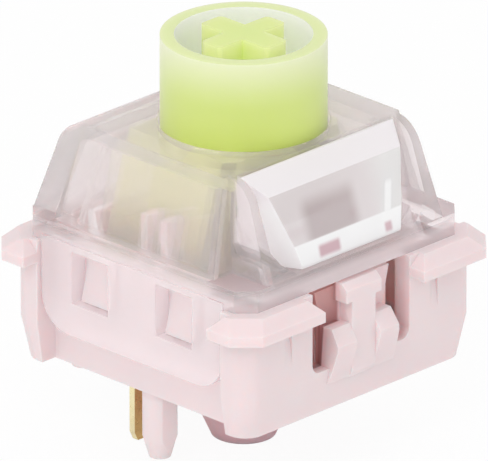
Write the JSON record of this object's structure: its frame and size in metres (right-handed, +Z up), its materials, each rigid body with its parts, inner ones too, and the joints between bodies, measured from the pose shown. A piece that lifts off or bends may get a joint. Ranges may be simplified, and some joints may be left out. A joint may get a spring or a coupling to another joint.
{
  "type": "mechanical keyboard switch",
  "caption": "Linear keyboard switch with a round-shrouded cross stem, milky upper shell, clear light guide, pink lower shell and two solder pins.",
  "frame": {"origin": "on the stem and centre post axis, in the plane of the circuit board's top face, which the four small feet rest on", "axes": "+Z up along the stem's axis; X runs along the two clip sides; -Y is the side with the light guide; the pins are towards +Y"},
  "size_m": [0.0156, 0.0156, 0.0184],
  "materials": {
    "base_plastic": "satin pale pink moulded plastic",
    "milky_plastic": "milky translucent moulded plastic",
    "clear_plastic": "clear polished plastic",
    "stem_plastic": "satin yellow-green translucent plastic",
    "spring_steel": "bright wire",
    "terminal_metal": "stamped, bright",
    "leaf_metal": "thin rolled copper alloy",
    "contact_metal": "polished gold alloy"
  },
  "bodies": {
    "housing": {"base_housing": "base_plastic", "top_housing": "milky_plastic", "light_guide": "clear_plastic", "fixed_terminal": "terminal_metal", "fixed_contact_point": "contact_metal", "leaf_terminal": "terminal_metal", "return_spring": "spring_steel"},
    "stem": {"stem": "stem_plastic"},
    "leaf": {"moving_leaf": "leaf_metal", "moving_contact_point": "contact_metal"}
  },
  "joints": [
    {"name": "stem_travel", "type": "slide", "parent": "housing", "child": "stem", "axis": [0, 0, -1], "range_m": [0, 0.0036], "stiffness_N_per_m": 80, "springref_m": -0.0045, "deforming": ["return_spring"]},
    {"name": "leaf_flex", "type": "hinge", "parent": "housing", "child": "leaf", "pos_m": [0, 0.00492, 0.0014], "axis": [1, 0, 0], "range_deg": [0, 5.54]}
  ],
  "couplings": [
    {"joint": "leaf_flex", "follows": "stem_travel", "rad_per_m": 26.82}
  ]
}
